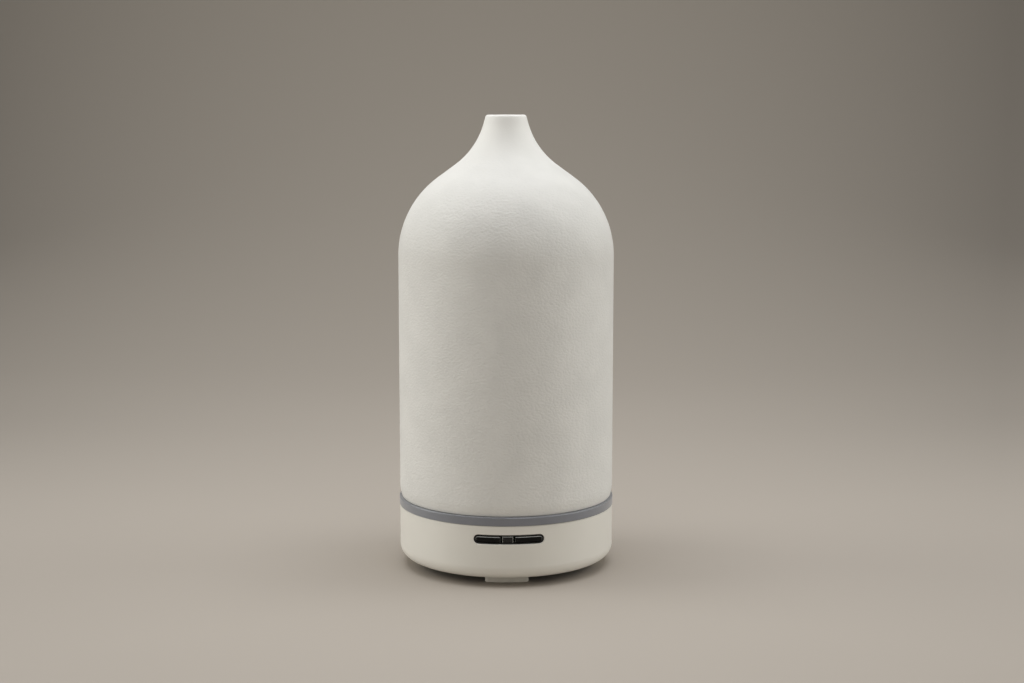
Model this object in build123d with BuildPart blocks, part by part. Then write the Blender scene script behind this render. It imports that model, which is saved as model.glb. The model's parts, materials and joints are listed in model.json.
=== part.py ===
"""Essential oil diffuser with a ceramic cover: base, water tank, mist drive, fan, keys and two covers.

Millimetres, +Z up, the origin on the table under the middle. The control window faces -Y, the power
inlet +Y. Every piece is a solid of its own, written as parts/NAME.step.
"""

import os
from math import cos, radians, sin

from build123d import *

os.makedirs("parts", exist_ok=True)

# ---------------------------------------------------------------- driving dimensions

# the outside, from the table up
total_height = 190.0
base_radius = 45.3
ring_radius = 45.5
cover_radius = 45.2
base_bottom_z = 3.3  # the feet hold the base this far off the table
base_top_z = 25.8
ring_top_z = 29.4
cover_gap = 0.1  # between two pieces that lift apart
cover_bottom_z = ring_top_z + cover_gap

# base shell
base_corner_radius = 5.4
base_wall = 2.3
base_lip_radius = 36.9
bottom_opening_radius = 38.4
bottom_thickness = 2.0
bottom_top_z = base_bottom_z + bottom_thickness
shell_inner_radius = base_radius - base_wall
ledge_inner_radius = 41.4
lip_top_z = bottom_top_z + bottom_thickness
inner_corner_radius = base_corner_radius - base_wall
ledge_top_z = 24.0
ledge_thickness = 1.4
edge_round = 0.4
inner_edge_round = 0.2
slip_clearance = 0.2  # round a piece that is dropped into its hole
through_cut = 12.0  # deeper than any wall that is cut through
ledge_gap_width = 40.0
ledge_gap_height = 4.2

# feet
foot_outer_radius = 36.5
foot_width = 3.6
foot_half_angle = 11.9
foot_seat = 0.8
foot_round = 0.4

# bottom screws, between the feet
screw_circle = 33.0
screw_head_radius = 2.75
screw_head_height = 1.5
screw_shank_radius = 1.2
screw_clear_radius = 1.6
screw_recess_depth = 1.8
screw_head_clearance = 0.35
screw_length = 12.0
screw_cross_size = 3.2
screw_cross_depth = 1.0
boss_radius = 3.4
boss_hole_radius = 1.25
boss_hole_depth = 13.0
cover_boss_radius = 5.0
cover_boss_height = 1.4
pilot_depth = 3.0
fan_post_radius = 2.2
board_post_radius = 2.4

# small screws: transducer clamp, fan, boards
small_screw_radius = 1.0
small_head_radius = 1.9
small_head_height = 1.3
small_cross_size = 2.2
small_cross_depth = 0.7
small_pilot_radius = 1.02
small_hole_radius = 1.15
fan_hole_radius = 1.3
clamp_screw_length = 4.5
board_screw_length = 4.0
key_board_screw_length = 3.2

# air intake
intake_hole_radius = 1.15
intake_rings = 4
intake_pitch = 3.1

# water tank
tank_radius = 38.0
tank_wall = 2.0
tank_inner_radius = tank_radius - tank_wall
tank_floor_z = 30.0
tank_rim_z = 66.0
tank_flange_radius = 42.8
level_rib_z = 55.0
level_rib_depth = 0.8
tank_rim_round = 0.6
level_rib_round = 0.3
tank_floor_round = 4.0
chimney_x = -27.0
chimney_bore = 4.6
chimney_radius = 6.0
chimney_bottom_z = 23.0
chimney_top_z = 61.0

# light ring and its board
ring_web = 1.0
ring_bore_radius = 38.4
ring_band_inner_radius = 43.0
ring_lip_radius = 41.6
ring_lip_height = 2.0
ring_lip_thickness = 1.4
ring_lip_round = 0.5
ring_foot_round = 0.4
led_board_radius = 42.4
led_board_bore = 38.6
led_board_thickness = 1.2
led_circle = 40.5
led_count = 8
led_chip_size = (2.0, 3.0, 1.0)

# ultrasonic transducer, under the middle of the tank floor
well_radius = 7.5
seat_radius = 10.4
seat_boss_radius = 16.5
seat_boss_bottom_z = 24.5
disc_radius = 9.0
disc_bottom_z = 26.2
disc_thickness = 1.0
disc_proud = 0.2
clamp_screw_circle = 13.6
clamp_thickness = 1.6
clamp_bore_radius = 6.0
clamp_hole_depth = 3.2
clamp_clearance = 0.3
seal_clearance = 0.1
seal_squeeze = 0.05
seal_lip = 0.8

# fan, under the tank's air chimney
fan_x = -17.0
fan_size = 30.0
fan_bottom_z = 7.2
fan_thickness = 7.0
fan_top_z = fan_bottom_z + fan_thickness
fan_bore_radius = 14.0
fan_hole_spacing = 24.0
fan_screw_length = 9.8
fan_corner_round = 2.5
hub_plate_radius = 6.4
hub_plate_thickness = 1.2
fan_arm_count = 3
fan_arm_width = 1.6
blade_count = 7
blade_tip_radius = 13.4
blade_chord = 6.4
blade_pitch = 38
blade_thickness = 0.8
blade_root_depth = 0.6
hub_radius = 6.2
hub_thickness = 0.8
hub_skirt = 1.0
hub_round = 0.5
hub_bottom_z = 8.9
hub_top_z = 13.7
stator_radius = 4.7
stator_height = 2.8
stator_lift = 0.2
stator_pole_thickness = 0.8
stator_pole_gap = 2.4
stator_spoke_width = 1.4
stator_core_wall = 0.9
stator_core_clearance = 0.02
bearing_radius = 1.8
bearing_height = 3.4
shaft_radius = 0.75
shaft_clearance = 0.05
shaft_lift = 0.3
duct_wall = 1.0
duct_mouth_radius = 14.6
duct_mouth_bore = 13.6
duct_clearance = 0.1
sleeve_bottom_z = 22.4
sleeve_top_z = 26.5
sleeve_radius = 7.4

# driver board
board_bottom_z = 8.0
board_thickness = 1.6
board_top_z = board_bottom_z + board_thickness
board_radius = 35.3
board_left_x = -14.0
board_cutout_x = -21.0
board_cutout_size = (39.6, 31.6)
board_boss_clearance = 0.9
board_screw_places = [(-8.5, 28.5), (-8.5, -28.5), (30.0, 12.5), (30.0, -12.5)]
connector_size = (6.0, 4.5, 4.5)
connector_places = {
    "fan": (-6.0, 22.0),
    "transducer": (4.0, -19.0),
    "led": (13.0, 27.0),
    "keys": (8.0, -27.0),
}
connector_chamfer = 0.4
heat_sink_height = 11.0
heat_sink_plate = (22.0, 2.0, 16.0)  # middle x, thickness, width
heat_sink_fins = (26.0, 8.4, 1.0)  # middle x, length, thickness
heat_sink_fin_count = 5
heat_sink_fin_pitch = 3.75
transistor_lift = 2.0
transistor_tab_x = 20.6
transistor_tab_size = (0.8, 9.6, 8.6)
transistor_body_x = 19.0
transistor_body_size = (2.4, 9.6, 5.6)
transistor_leg_size = (0.5, 0.8, 2.0)
transistor_leg_pitch = 2.5
inductor_place = (12.0, 17.0)
inductor_radius = 4.5
inductor_waist_radius = 4.0
inductor_flange = 1.0
inductor_height = 7.0
capacitors = {"large": (5.0, 9.0, 4.0, 10.0), "small": (6.0, -2.0, 3.2, 8.0)}  # x, y, radius, height
capacitor_round = 0.5
vent_depth = 0.3
chip_place = (12.0, -12.0)
chip_size = (10.0, 5.0, 1.6)
chip_lift = 0.2
chip_leg_size = (0.45, 1.2, 0.8)
chip_leg_pitch = 1.27
chip_leg_count = 8
chip_leg_y = 3.0
lead_radius = 0.8
lead_clearance = 0.4
crossing_z = 18.5
led_crossing_z = 19.5
disc_lead_end = (0.0, -3.0)
fan_lead_bends = (-9.0, 19.75, 17.9, 16.8, 15.0)  # the jog's x, then each bend's y
fan_lead_bend_radius = 0.9
led_lead_bend_radius = 2.5
lead_bend_radius = 3.0
led_lead_top = (19.9, 34.47)

# power inlet, for a plug of 5.5 mm outside and 2.1 mm inside
inlet_z = board_top_z + 6.4
inlet_width = 9.0
inlet_back_y = 28.4
inlet_front_y = 42.3
inlet_nose_y = 44.6
inlet_nose_radius = 3.9
inlet_bore_radius = 2.95
inlet_bore_end_y = 33.6
inlet_pin_radius = 1.0
inlet_pin_tip_y = 43.4
inlet_seat_radius = 1.6
inlet_height = 11.0
contact_back_y = 30.0
contact_length = 11.0
contact_width = 2.0
contact_thickness = 0.4
contact_drop = 2.7
contact_tail_height = inlet_z - contact_drop - board_top_z
inlet_pin_round = 0.5

# control window and keys
window_width = 28.5
window_height = 3.9
window_z = 20.2
window_middle_x = 0.8
bezel_rim = 0.45
frame_clearance = 0.05
key_clearance = 0.15
key_height = window_height - 2 * bezel_rim - 2 * key_clearance - 2 * frame_clearance
key_row_width = window_width - 2 * bezel_rim - 2 * key_clearance - 2 * frame_clearance
key_rib_height = key_height + 1.6
key_round = 0.85
key_front_radius = base_radius - 0.15
key_back_radius = 39.9
key_rib_clearance = 0.3
key_rib_inset = 0.2
plunger_end_y = -38.8
plunger_radius = 1.2
plunger_length = 1.0
lens_set_back = 0.1
lens_flange = 1.0
switch_size = (4.5, 3.5)
switch_height = 1.6
switch_chamfer = 0.3
switch_button_radius = 1.0
switch_button_height = 0.65
status_led_size = (2.0, 1.25)
status_led_height = 0.8
window_round = 0.25
bezel_set_back = 0.5
frame_outer_radius = shell_inner_radius - frame_clearance
frame_inner_radius = 41.0
frame_width = 37.0
frame_height = 7.4
frame_corner_round = 1.5
seam = 0.45  # between a key and the middle lens
lens_left_x = -2.1
lens_right_x = 2.7
lens_middle_x = (lens_left_x + lens_right_x) / 2
lens_clearance = 0.02
key_board_y = -36.0
key_board_thickness = 1.2
key_post_spacing = 33.0
key_post_length = 2.5
key_post_radius = 1.5
key_post_hole_depth = 2.4
key_board_margin = 5.0
key_board_inset = 0.6

# inner cover and ceramic cover
inner_cover_radius = 39.2
inner_cover_wall = 1.0
inner_cover_bottom_z = 60.0
inner_chimney_radius = 8.6
inner_chimney_bore = 7.2
inner_cover_top_z = 112.0
inner_cover_wall_top_z = 69.0
inner_cover_roof_z = 84.0
inner_cover_seat = 1.2
inner_seat_radius = 36.0
chimney_bead_height = 2.0
chimney_bead_slope = 0.6
chimney_bead = 1.0
ceramic_wall = 3.2
shoulder_start_z = 131.4
shoulder_radius = 40.4
shoulder_turn = 54.0
slope_length = 9.0
neck_radius = 32.0
neck_turn = 39.0
nozzle_bore = 4.6
rim_round = 1.2
bore_round = 0.8
curl_radius = 16.4
curl_turn = 17.8
cover_edge_round = 0.35
bore_neck_turn = 5.0
bore_neck_rise = 3.0
foot_inset = 0.5  # of the cover's foot face, on the inside

contact_align = (Align.CENTER, Align.MIN, Align.MIN)
tail_align = (Align.CENTER, Align.MIN, Align.MAX)
standing = (Align.CENTER, Align.CENTER, Align.MIN)
hanging = (Align.CENTER, Align.CENTER, Align.MAX)


def finish(piece, name):
    """Label a finished piece and write it under its own name."""
    piece.part.label = name
    export_step(piece.part, f"parts/{name}.step")


def on_cylinder(edge, radius):
    """True for an edge that lies on the upright cylinder of this radius round the object's axis."""
    points = [edge @ 0, edge @ 0.37, edge @ 0.8]
    return all(abs((point.X**2 + point.Y**2) ** 0.5 - radius) < 0.01 for point in points)


def foot_arc(angle):
    """The middle line of a foot whose middle stands at this angle."""
    middle_radius = foot_outer_radius - foot_width / 2
    return CenterArc((0, 0), middle_radius, angle - foot_half_angle, 2 * foot_half_angle, mode=Mode.PRIVATE)


def cross_recess(size, depth):
    """Cut a cross-head recess downwards at the current places of a part."""
    Box(size, size / 4, depth, align=hanging, mode=Mode.SUBTRACT)
    Box(size / 4, size, depth, align=hanging, mode=Mode.SUBTRACT)


def downward_screw(head_radius, head_height, shank, length):
    """A pan-head screw at the current places, its head standing up from them and its shank below."""
    Cylinder(head_radius, head_height, align=standing)
    Cylinder(shank, length, align=hanging)


# ---------------------------------------------------------------- base shell

with BuildPart() as base_shell:
    with BuildSketch(Plane.XZ):
        with BuildLine():
            FilletPolyline(
                (bottom_opening_radius, base_bottom_z),
                (base_radius, base_bottom_z),
                (base_radius, base_top_z),
                (shell_inner_radius, base_top_z),
                (shell_inner_radius, ledge_top_z),
                (ledge_inner_radius, ledge_top_z),
                (ledge_inner_radius, ledge_top_z - ledge_thickness),
                (shell_inner_radius, ledge_top_z - 2 * ledge_thickness),
                (shell_inner_radius, lip_top_z),
                (base_lip_radius, lip_top_z),
                (base_lip_radius, bottom_top_z),
                (bottom_opening_radius, bottom_top_z),
                radius=[0, base_corner_radius, edge_round, 0, 0, 0, 0, 0, inner_corner_radius, 0, 0, 0],
                close=True,
            )
        make_face()
    revolve(axis=Axis.Z)
    # the ledge under the tank's flange is left out in front, where the key frame stands
    with BuildSketch(Plane.XY.offset(ledge_top_z)):
        Circle(shell_inner_radius)
        Circle(ledge_inner_radius - ledge_thickness, mode=Mode.SUBTRACT)
        with Locations((0, -shell_inner_radius)):
            Rectangle(ledge_gap_width, shell_inner_radius / 2, mode=Mode.INTERSECT)
    extrude(amount=-ledge_gap_height, mode=Mode.SUBTRACT)
    # control window, its rim rounded over
    with BuildSketch(Plane.XZ.offset(base_lip_radius)):
        with Locations((window_middle_x, window_z)):
            SlotOverall(window_width, window_height)
    extrude(amount=through_cut, mode=Mode.SUBTRACT)
    window_rim = base_shell.edges().filter_by(
        lambda edge: abs(edge.center().Z - window_z) < window_height
        and on_cylinder(edge, base_radius)
        and edge.center().Y < 0
    )
    fillet(window_rim, window_round)
    # hole for the power inlet's nose
    with BuildSketch(Plane.XZ.offset(-base_lip_radius)):
        with Locations((0, inlet_z)):
            Circle(inlet_nose_radius + slip_clearance)
    extrude(amount=-through_cut, mode=Mode.SUBTRACT)
finish(base_shell, "base_shell")

# ---------------------------------------------------------------- bottom cover, feet and screws

with BuildPart() as bottom_cover:
    with BuildSketch(Plane.XY.offset(base_bottom_z)):
        Circle(bottom_opening_radius - slip_clearance)
    extrude(amount=bottom_thickness)
    # bosses round the screws, posts under the fan and posts under the board
    with BuildSketch(Plane.XY.offset(bottom_top_z)):
        with PolarLocations(screw_circle, 4, start_angle=45):
            Circle(cover_boss_radius)
        Circle(base_lip_radius - slip_clearance, mode=Mode.INTERSECT)
    extrude(amount=cover_boss_height)
    with BuildSketch(Plane.XY.offset(bottom_top_z)):
        with Locations((fan_x, 0)):
            with GridLocations(fan_hole_spacing, fan_hole_spacing, 2, 2):
                Circle(fan_post_radius)
    extrude(amount=fan_bottom_z - bottom_top_z)
    with BuildSketch(Plane.XY.offset(bottom_top_z)):
        with Locations(board_screw_places):
            Circle(board_post_radius)
    extrude(amount=board_bottom_z - bottom_top_z)
    # counterbored holes for the bottom screws
    with Locations(Plane.XY.offset(base_bottom_z).rotated((180, 0, 0))):
        with PolarLocations(screw_circle, 4, start_angle=45):
            CounterBoreHole(screw_clear_radius, screw_head_radius + screw_head_clearance, screw_recess_depth)
    # pilot holes, blind
    with BuildSketch(Plane.XY.offset(fan_bottom_z)):
        with Locations((fan_x, 0)):
            with GridLocations(fan_hole_spacing, fan_hole_spacing, 2, 2):
                Circle(small_pilot_radius)
    extrude(amount=-pilot_depth, mode=Mode.SUBTRACT)
    with BuildSketch(Plane.XY.offset(board_bottom_z)):
        with Locations(board_screw_places):
            Circle(small_pilot_radius)
    extrude(amount=-pilot_depth, mode=Mode.SUBTRACT)
    # seats of the feet
    with BuildSketch(Plane.XY.offset(base_bottom_z)):
        for quarter in range(4):
            SlotArc(foot_arc(90 * quarter), foot_width)
    extrude(amount=foot_seat, mode=Mode.SUBTRACT)
    # air intake: rings of small holes under the fan
    with BuildSketch(Plane.XY.offset(base_bottom_z)):
        with Locations((fan_x, 0)):
            Circle(intake_hole_radius)
            for ring in range(1, intake_rings + 1):
                with PolarLocations(ring * intake_pitch, 6 * ring):
                    Circle(intake_hole_radius)
    extrude(amount=bottom_thickness, mode=Mode.SUBTRACT)
finish(bottom_cover, "bottom_cover")

for side, angle in {"right": 0, "back": 90, "left": 180, "front": 270}.items():
    with BuildPart() as foot:
        with BuildSketch():
            SlotArc(foot_arc(angle), foot_width)
        extrude(amount=base_bottom_z + foot_seat)
        fillet(foot.faces().sort_by(Axis.Z)[0].edges(), foot_round)
    finish(foot, f"foot_{side}")

with BuildPart() as bottom_screws:
    head_z = base_bottom_z + screw_recess_depth
    with Locations(Plane.XY.offset(head_z).rotated((180, 0, 0))):
        with PolarLocations(screw_circle, 4, start_angle=45):
            downward_screw(screw_head_radius, screw_head_height, screw_shank_radius, screw_length)
    with Locations(Plane.XY.offset(head_z - screw_head_height).rotated((180, 0, 0))):
        with PolarLocations(screw_circle, 4, start_angle=45):
            cross_recess(screw_cross_size, screw_cross_depth)
finish(bottom_screws, "bottom_screws")

# ---------------------------------------------------------------- water tank and light ring

with BuildPart() as tank:
    # cup with its flange, the floor raised above the flange
    with BuildSketch(Plane.XZ):
        with BuildLine():
            FilletPolyline(
                (0, tank_floor_z - tank_wall),
                (tank_inner_radius, tank_floor_z - tank_wall),
                (tank_inner_radius, ledge_top_z),
                (tank_flange_radius, ledge_top_z),
                (tank_flange_radius, base_top_z),
                (tank_radius, base_top_z),
                (tank_radius, tank_rim_z),
                (tank_inner_radius, tank_rim_z),
                (tank_inner_radius, level_rib_z + level_rib_depth),
                (tank_inner_radius - level_rib_depth, level_rib_z),
                (tank_inner_radius, level_rib_z - level_rib_depth),
                (tank_inner_radius, tank_floor_z),
                (0, tank_floor_z),
                radius=[0] * 6 + [tank_rim_round] * 2 + [0, level_rib_round, 0, tank_floor_round, 0],
                close=True,
            )
        make_face()
    revolve(axis=Axis.Z)
    # seat for the transducer, under the floor
    with BuildSketch(Plane.XY.offset(seat_boss_bottom_z)):
        Circle(seat_boss_radius)
        Circle(seat_radius, mode=Mode.SUBTRACT)
    extrude(amount=tank_floor_z - tank_wall - seat_boss_bottom_z)
    # screw bosses down to the bottom cover
    with BuildSketch(Plane.XY.offset(bottom_top_z + cover_boss_height)):
        with PolarLocations(screw_circle, 4, start_angle=45):
            Circle(boss_radius)
    extrude(amount=tank_floor_z - tank_wall - bottom_top_z - cover_boss_height)
    # air chimney, through the floor and up above the water
    with BuildSketch(Plane.XY.offset(chimney_bottom_z)):
        with Locations((chimney_x, 0)):
            Circle(chimney_radius)
    extrude(amount=chimney_top_z - chimney_bottom_z)
    with BuildSketch(Plane.XY.offset(chimney_bottom_z)):
        with Locations((chimney_x, 0)):
            Circle(chimney_bore)
    extrude(amount=chimney_top_z - chimney_bottom_z, mode=Mode.SUBTRACT)
    # the opening over the transducer, widening upwards
    with BuildSketch(Plane.XZ):
        with BuildLine():
            Polyline(
                (0, tank_floor_z - tank_wall),
                (well_radius, tank_floor_z - tank_wall),
                (well_radius + tank_wall, tank_floor_z),
                (0, tank_floor_z),
                close=True,
            )
        make_face()
    revolve(axis=Axis.Z, mode=Mode.SUBTRACT)
    # holes in the screw bosses, clamp screw holes and the light ring lead's hole
    with BuildSketch(Plane.XY.offset(bottom_top_z + cover_boss_height)):
        with PolarLocations(screw_circle, 4, start_angle=45):
            Circle(boss_hole_radius)
    extrude(amount=boss_hole_depth, mode=Mode.SUBTRACT)
    with BuildSketch(Plane.XY.offset(seat_boss_bottom_z)):
        with PolarLocations(clamp_screw_circle, 3, start_angle=90):
            Circle(small_pilot_radius)
    extrude(amount=clamp_hole_depth, mode=Mode.SUBTRACT)
    with BuildSketch(Plane.XY.offset(ledge_top_z)):
        with Locations(led_lead_top):
            Circle(lead_radius + lead_clearance)
    extrude(amount=base_top_z - ledge_top_z, mode=Mode.SUBTRACT)
finish(tank, "tank")

with BuildPart() as light_ring:
    with BuildSketch(Plane.XZ):
        with BuildLine():
            FilletPolyline(
                (ring_bore_radius, ring_top_z - ring_web),
                (ring_band_inner_radius, ring_top_z - ring_web),
                (ring_band_inner_radius, base_top_z),
                (ring_radius, base_top_z),
                (ring_radius, ring_top_z),
                (ring_lip_radius, ring_top_z),
                (ring_lip_radius, ring_top_z + ring_lip_height),
                (ring_lip_radius - ring_lip_thickness, ring_top_z + ring_lip_height),
                (ring_lip_radius - ring_lip_thickness, ring_top_z),
                (ring_bore_radius, ring_top_z),
                radius=[0, 0, 0, ring_foot_round, edge_round, inner_edge_round]
                + [ring_lip_round, ring_lip_round, inner_edge_round, inner_edge_round],
                close=True,
            )
        make_face()
    revolve(axis=Axis.Z)
finish(light_ring, "light_ring")

with BuildPart() as led_board:
    with BuildSketch(Plane.XY.offset(base_top_z)):
        Circle(led_board_radius)
        Circle(led_board_bore, mode=Mode.SUBTRACT)
    extrude(amount=led_board_thickness)
finish(led_board, "led_board")

with BuildPart() as led_chips:
    with Locations(Plane.XY.offset(base_top_z + led_board_thickness)):
        with PolarLocations(led_circle, led_count, start_angle=22.5):
            Box(*led_chip_size, align=standing)
finish(led_chips, "led_chips")

# ---------------------------------------------------------------- ultrasonic transducer

seal_top_z = tank_floor_z - tank_wall
disc_top_z = disc_bottom_z + disc_thickness

with BuildPart() as transducer_seal:
    with BuildSketch(Plane.XZ):
        with BuildLine():
            Polyline(
                (well_radius, disc_top_z),
                (disc_radius + seal_clearance, disc_top_z),
                (disc_radius + seal_clearance, disc_bottom_z - seal_lip),
                (seat_radius - seal_squeeze, disc_bottom_z - seal_lip),
                (seat_radius - seal_squeeze, seal_top_z),
                (well_radius, seal_top_z),
                close=True,
            )
        make_face()
    revolve(axis=Axis.Z)
finish(transducer_seal, "transducer_seal")

with BuildPart() as transducer_disc:
    with BuildSketch(Plane.XY.offset(disc_bottom_z)):
        Circle(disc_radius)
    extrude(amount=disc_thickness)
    # the silvered middle on the dry side stands a little proud
    with BuildSketch(Plane.XY.offset(disc_bottom_z)):
        Circle(disc_radius / 2)
    extrude(amount=-disc_proud)
finish(transducer_disc, "transducer_disc")

with BuildPart() as transducer_clamp:
    with BuildSketch(Plane.XY.offset(seat_boss_bottom_z)):
        Circle(seat_boss_radius - clamp_clearance)
    extrude(amount=-clamp_thickness)
    # the raised ring that presses on the disc
    with BuildSketch(Plane.XY.offset(seat_boss_bottom_z)):
        Circle(disc_radius - clamp_clearance)
    extrude(amount=disc_bottom_z - seat_boss_bottom_z)
    with BuildSketch(Plane.XY.offset(seat_boss_bottom_z - clamp_thickness)):
        Circle(clamp_bore_radius)
    extrude(amount=disc_bottom_z - seat_boss_bottom_z + clamp_thickness, mode=Mode.SUBTRACT)
    with BuildSketch(Plane.XY.offset(seat_boss_bottom_z - clamp_thickness)):
        with PolarLocations(clamp_screw_circle, 3, start_angle=90):
            Circle(small_hole_radius)
    extrude(amount=clamp_thickness, mode=Mode.SUBTRACT)
finish(transducer_clamp, "transducer_clamp")

with BuildPart() as clamp_screws:
    with Locations(Plane.XY.offset(seat_boss_bottom_z - clamp_thickness).rotated((180, 0, 0))):
        with PolarLocations(clamp_screw_circle, 3, start_angle=270):
            downward_screw(small_head_radius, small_head_height, small_screw_radius, clamp_screw_length)
    clamp_head_z = seat_boss_bottom_z - clamp_thickness - small_head_height
    with Locations(Plane.XY.offset(clamp_head_z).rotated((180, 0, 0))):
        with PolarLocations(clamp_screw_circle, 3, start_angle=270):
            cross_recess(small_cross_size, small_cross_depth)
finish(clamp_screws, "clamp_screws")

# ---------------------------------------------------------------- fan and air duct

hub_plate_top_z = fan_bottom_z + hub_plate_thickness
fan_middle = (fan_x, 0)

with BuildPart() as fan_frame:
    with BuildSketch(Plane.XY.offset(fan_bottom_z)):
        with Locations(fan_middle):
            RectangleRounded(fan_size, fan_size, fan_corner_round)
            Circle(fan_bore_radius, mode=Mode.SUBTRACT)
            with GridLocations(fan_hole_spacing, fan_hole_spacing, 2, 2):
                Circle(fan_hole_radius, mode=Mode.SUBTRACT)
    extrude(amount=fan_thickness)
    # hub plate on three arms, and the collar that holds the bearing
    with BuildSketch(Plane.XY.offset(fan_bottom_z)):
        with Locations(fan_middle):
            Circle(hub_plate_radius)
            with PolarLocations(fan_bore_radius / 2 + 2, fan_arm_count, start_angle=30):
                Rectangle(fan_bore_radius - 2, fan_arm_width)
    extrude(amount=hub_plate_thickness)
finish(fan_frame, "fan_frame")

with BuildPart() as fan_bearing:
    with BuildSketch(Plane.XY.offset(hub_plate_top_z)):
        with Locations(fan_middle):
            Circle(bearing_radius)
            Circle(shaft_radius + shaft_clearance, mode=Mode.SUBTRACT)
    extrude(amount=bearing_height)
finish(fan_bearing, "fan_bearing")

with BuildPart() as fan_stator:
    # a laminated core: a ring round the bearing, four spokes and four curved pole faces
    with BuildSketch(Plane.XY.offset(hub_plate_top_z + stator_lift)):
        with Locations(fan_middle):
            Circle(stator_radius)
            Circle(stator_radius - stator_pole_thickness, mode=Mode.SUBTRACT)
            with PolarLocations(stator_radius, 4, start_angle=45):
                Rectangle(stator_pole_gap, stator_pole_gap / 2, mode=Mode.SUBTRACT)
            with PolarLocations(stator_radius * 5 / 8, 4):
                Rectangle(stator_radius / 2, stator_spoke_width)
            Circle(bearing_radius + stator_core_wall)
            Circle(bearing_radius + stator_core_clearance, mode=Mode.SUBTRACT)
    extrude(amount=stator_height)
    with BuildSketch(Plane.XY.offset(hub_plate_top_z)):
        with Locations(fan_middle):
            Circle(bearing_radius + stator_core_wall)
            Circle(bearing_radius + stator_core_clearance, mode=Mode.SUBTRACT)
    extrude(amount=stator_lift)
finish(fan_stator, "fan_stator")

with BuildPart() as fan_shaft:
    with BuildSketch(Plane.XY.offset(hub_plate_top_z + shaft_lift)):
        with Locations(fan_middle):
            Circle(shaft_radius)
    extrude(amount=hub_top_z - hub_thickness - hub_plate_top_z - shaft_lift)
finish(fan_shaft, "fan_shaft")

with BuildPart() as fan_rotor:
    with BuildSketch(Plane.XY.offset(hub_bottom_z)):
        with Locations(fan_middle):
            Circle(hub_radius)
    extrude(amount=hub_top_z - hub_bottom_z)
    fillet(fan_rotor.faces().sort_by(Axis.Z)[-1].edges(), hub_round)
    # pitched blades from the hub's skirt to the tip circle
    for blade in range(blade_count):
        turn = 360 * blade / blade_count
        outward = Vector(cos(radians(turn)), sin(radians(turn)), 0)
        root = Vector(fan_x, 0, (hub_bottom_z + hub_top_z) / 2) + outward * (hub_radius - blade_root_depth)
        blade_plane = Plane(origin=root, x_dir=(-sin(radians(turn)), cos(radians(turn)), 0), z_dir=outward)
        with BuildSketch(blade_plane):
            Rectangle(blade_chord, blade_thickness, rotation=blade_pitch)
        extrude(amount=fan_bore_radius - hub_radius + 2 * blade_root_depth)
    with BuildSketch(Plane.XY.offset(hub_bottom_z)):
        with Locations(fan_middle):
            Circle(blade_tip_radius)
    extrude(amount=hub_top_z - hub_bottom_z, mode=Mode.INTERSECT)
    with BuildSketch(Plane.XY.offset(hub_bottom_z)):
        with Locations(fan_middle):
            Circle(hub_radius - hub_skirt)
    extrude(amount=hub_top_z - hub_bottom_z - hub_thickness, mode=Mode.SUBTRACT)
finish(fan_rotor, "fan_rotor")

with BuildPart() as air_duct:
    # the flange on the fan, then a skew cone up to the sleeve round the tank's chimney
    with BuildSketch(Plane.XY.offset(fan_top_z)):
        with Locations(fan_middle):
            RectangleRounded(fan_size, fan_size, fan_corner_round)
            with GridLocations(fan_hole_spacing, fan_hole_spacing, 2, 2):
                Circle(fan_hole_radius, mode=Mode.SUBTRACT)
    extrude(amount=duct_wall)
    with BuildSketch(Plane.XY.offset(fan_top_z + duct_wall)):
        with Locations(fan_middle):
            Circle(duct_mouth_radius)
    with BuildSketch(Plane.XY.offset(sleeve_bottom_z)):
        with Locations((chimney_x, 0)):
            Circle(sleeve_radius)
    loft()
    with BuildSketch(Plane.XY.offset(sleeve_bottom_z)):
        with Locations((chimney_x, 0)):
            Circle(sleeve_radius)
    extrude(amount=sleeve_top_z - sleeve_bottom_z)
    with BuildSketch(Plane.XY.offset(fan_top_z)):
        with Locations(fan_middle):
            Circle(duct_mouth_bore)
    with BuildSketch(Plane.XY.offset(sleeve_bottom_z)):
        with Locations((chimney_x, 0)):
            Circle(chimney_bore)
    loft(mode=Mode.SUBTRACT)
    with BuildSketch(Plane.XY.offset(sleeve_bottom_z)):
        with Locations((chimney_x, 0)):
            Circle(chimney_bore)
    extrude(amount=sleeve_top_z - sleeve_bottom_z, mode=Mode.SUBTRACT)
    with BuildSketch(Plane.XY.offset(chimney_bottom_z)):
        with Locations((chimney_x, 0)):
            Circle(chimney_radius + duct_clearance)
    extrude(amount=sleeve_top_z - chimney_bottom_z, mode=Mode.SUBTRACT)
finish(air_duct, "air_duct")

with BuildPart() as fan_screws:
    with Locations(Plane.XY.offset(fan_top_z + duct_wall)):
        with Locations(fan_middle):
            with GridLocations(fan_hole_spacing, fan_hole_spacing, 2, 2):
                downward_screw(small_head_radius, small_head_height, small_screw_radius, fan_screw_length)
    with Locations(Plane.XY.offset(fan_top_z + duct_wall + small_head_height)):
        with Locations(fan_middle):
            with GridLocations(fan_hole_spacing, fan_hole_spacing, 2, 2):
                cross_recess(small_cross_size, small_cross_depth)
finish(fan_screws, "fan_screws")

# ---------------------------------------------------------------- driver board and what stands on it

with BuildPart() as driver_board:
    with BuildSketch(Plane.XY.offset(board_bottom_z)):
        Circle(board_radius)
        with Locations((board_left_x + board_radius, 0)):
            Rectangle(2 * board_radius, 2 * board_radius, mode=Mode.INTERSECT)
        with Locations((board_cutout_x, 0)):
            Rectangle(*board_cutout_size, mode=Mode.SUBTRACT)
        with PolarLocations(screw_circle, 4, start_angle=45):
            Circle(boss_radius + board_boss_clearance, mode=Mode.SUBTRACT)
        with Locations(board_screw_places):
            Circle(small_hole_radius, mode=Mode.SUBTRACT)
    extrude(amount=board_thickness)
finish(driver_board, "driver_board")

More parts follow.
